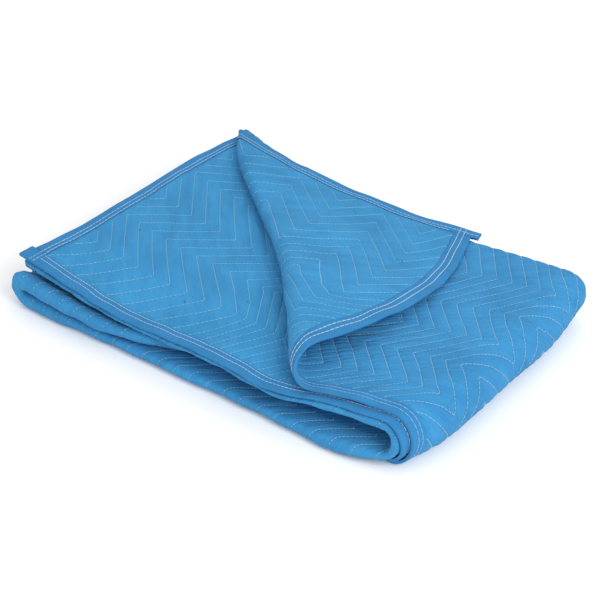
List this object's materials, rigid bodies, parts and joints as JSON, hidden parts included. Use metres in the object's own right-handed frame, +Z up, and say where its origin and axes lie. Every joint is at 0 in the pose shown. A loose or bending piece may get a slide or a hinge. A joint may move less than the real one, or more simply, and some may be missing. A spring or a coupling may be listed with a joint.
{
  "type": "moving blanket",
  "caption": "Quilted moving blanket with bound edges, folded into a flat bundle with one corner of its top layer turned back.",
  "frame": {"origin": "middle of the bundle's box, on the surface that it lies on", "axes": "+X along the bundle's longest side, towards its closed right end; +Y across it, from the open front to the back; +Z up"},
  "size_m": [0.724, 0.5444, 0.1121],
  "materials": {
    "quilted_cloth": "matte quilted nonwoven cloth",
    "binding": "matte woven tape"
  },
  "bodies": {
    "root": {"cloth": "quilted_cloth", "binding_second_edge": "binding", "binding_start_end": "binding", "binding_upper_edge": "binding", "binding_finish_end": "binding"}
  },
  "joints": []
}
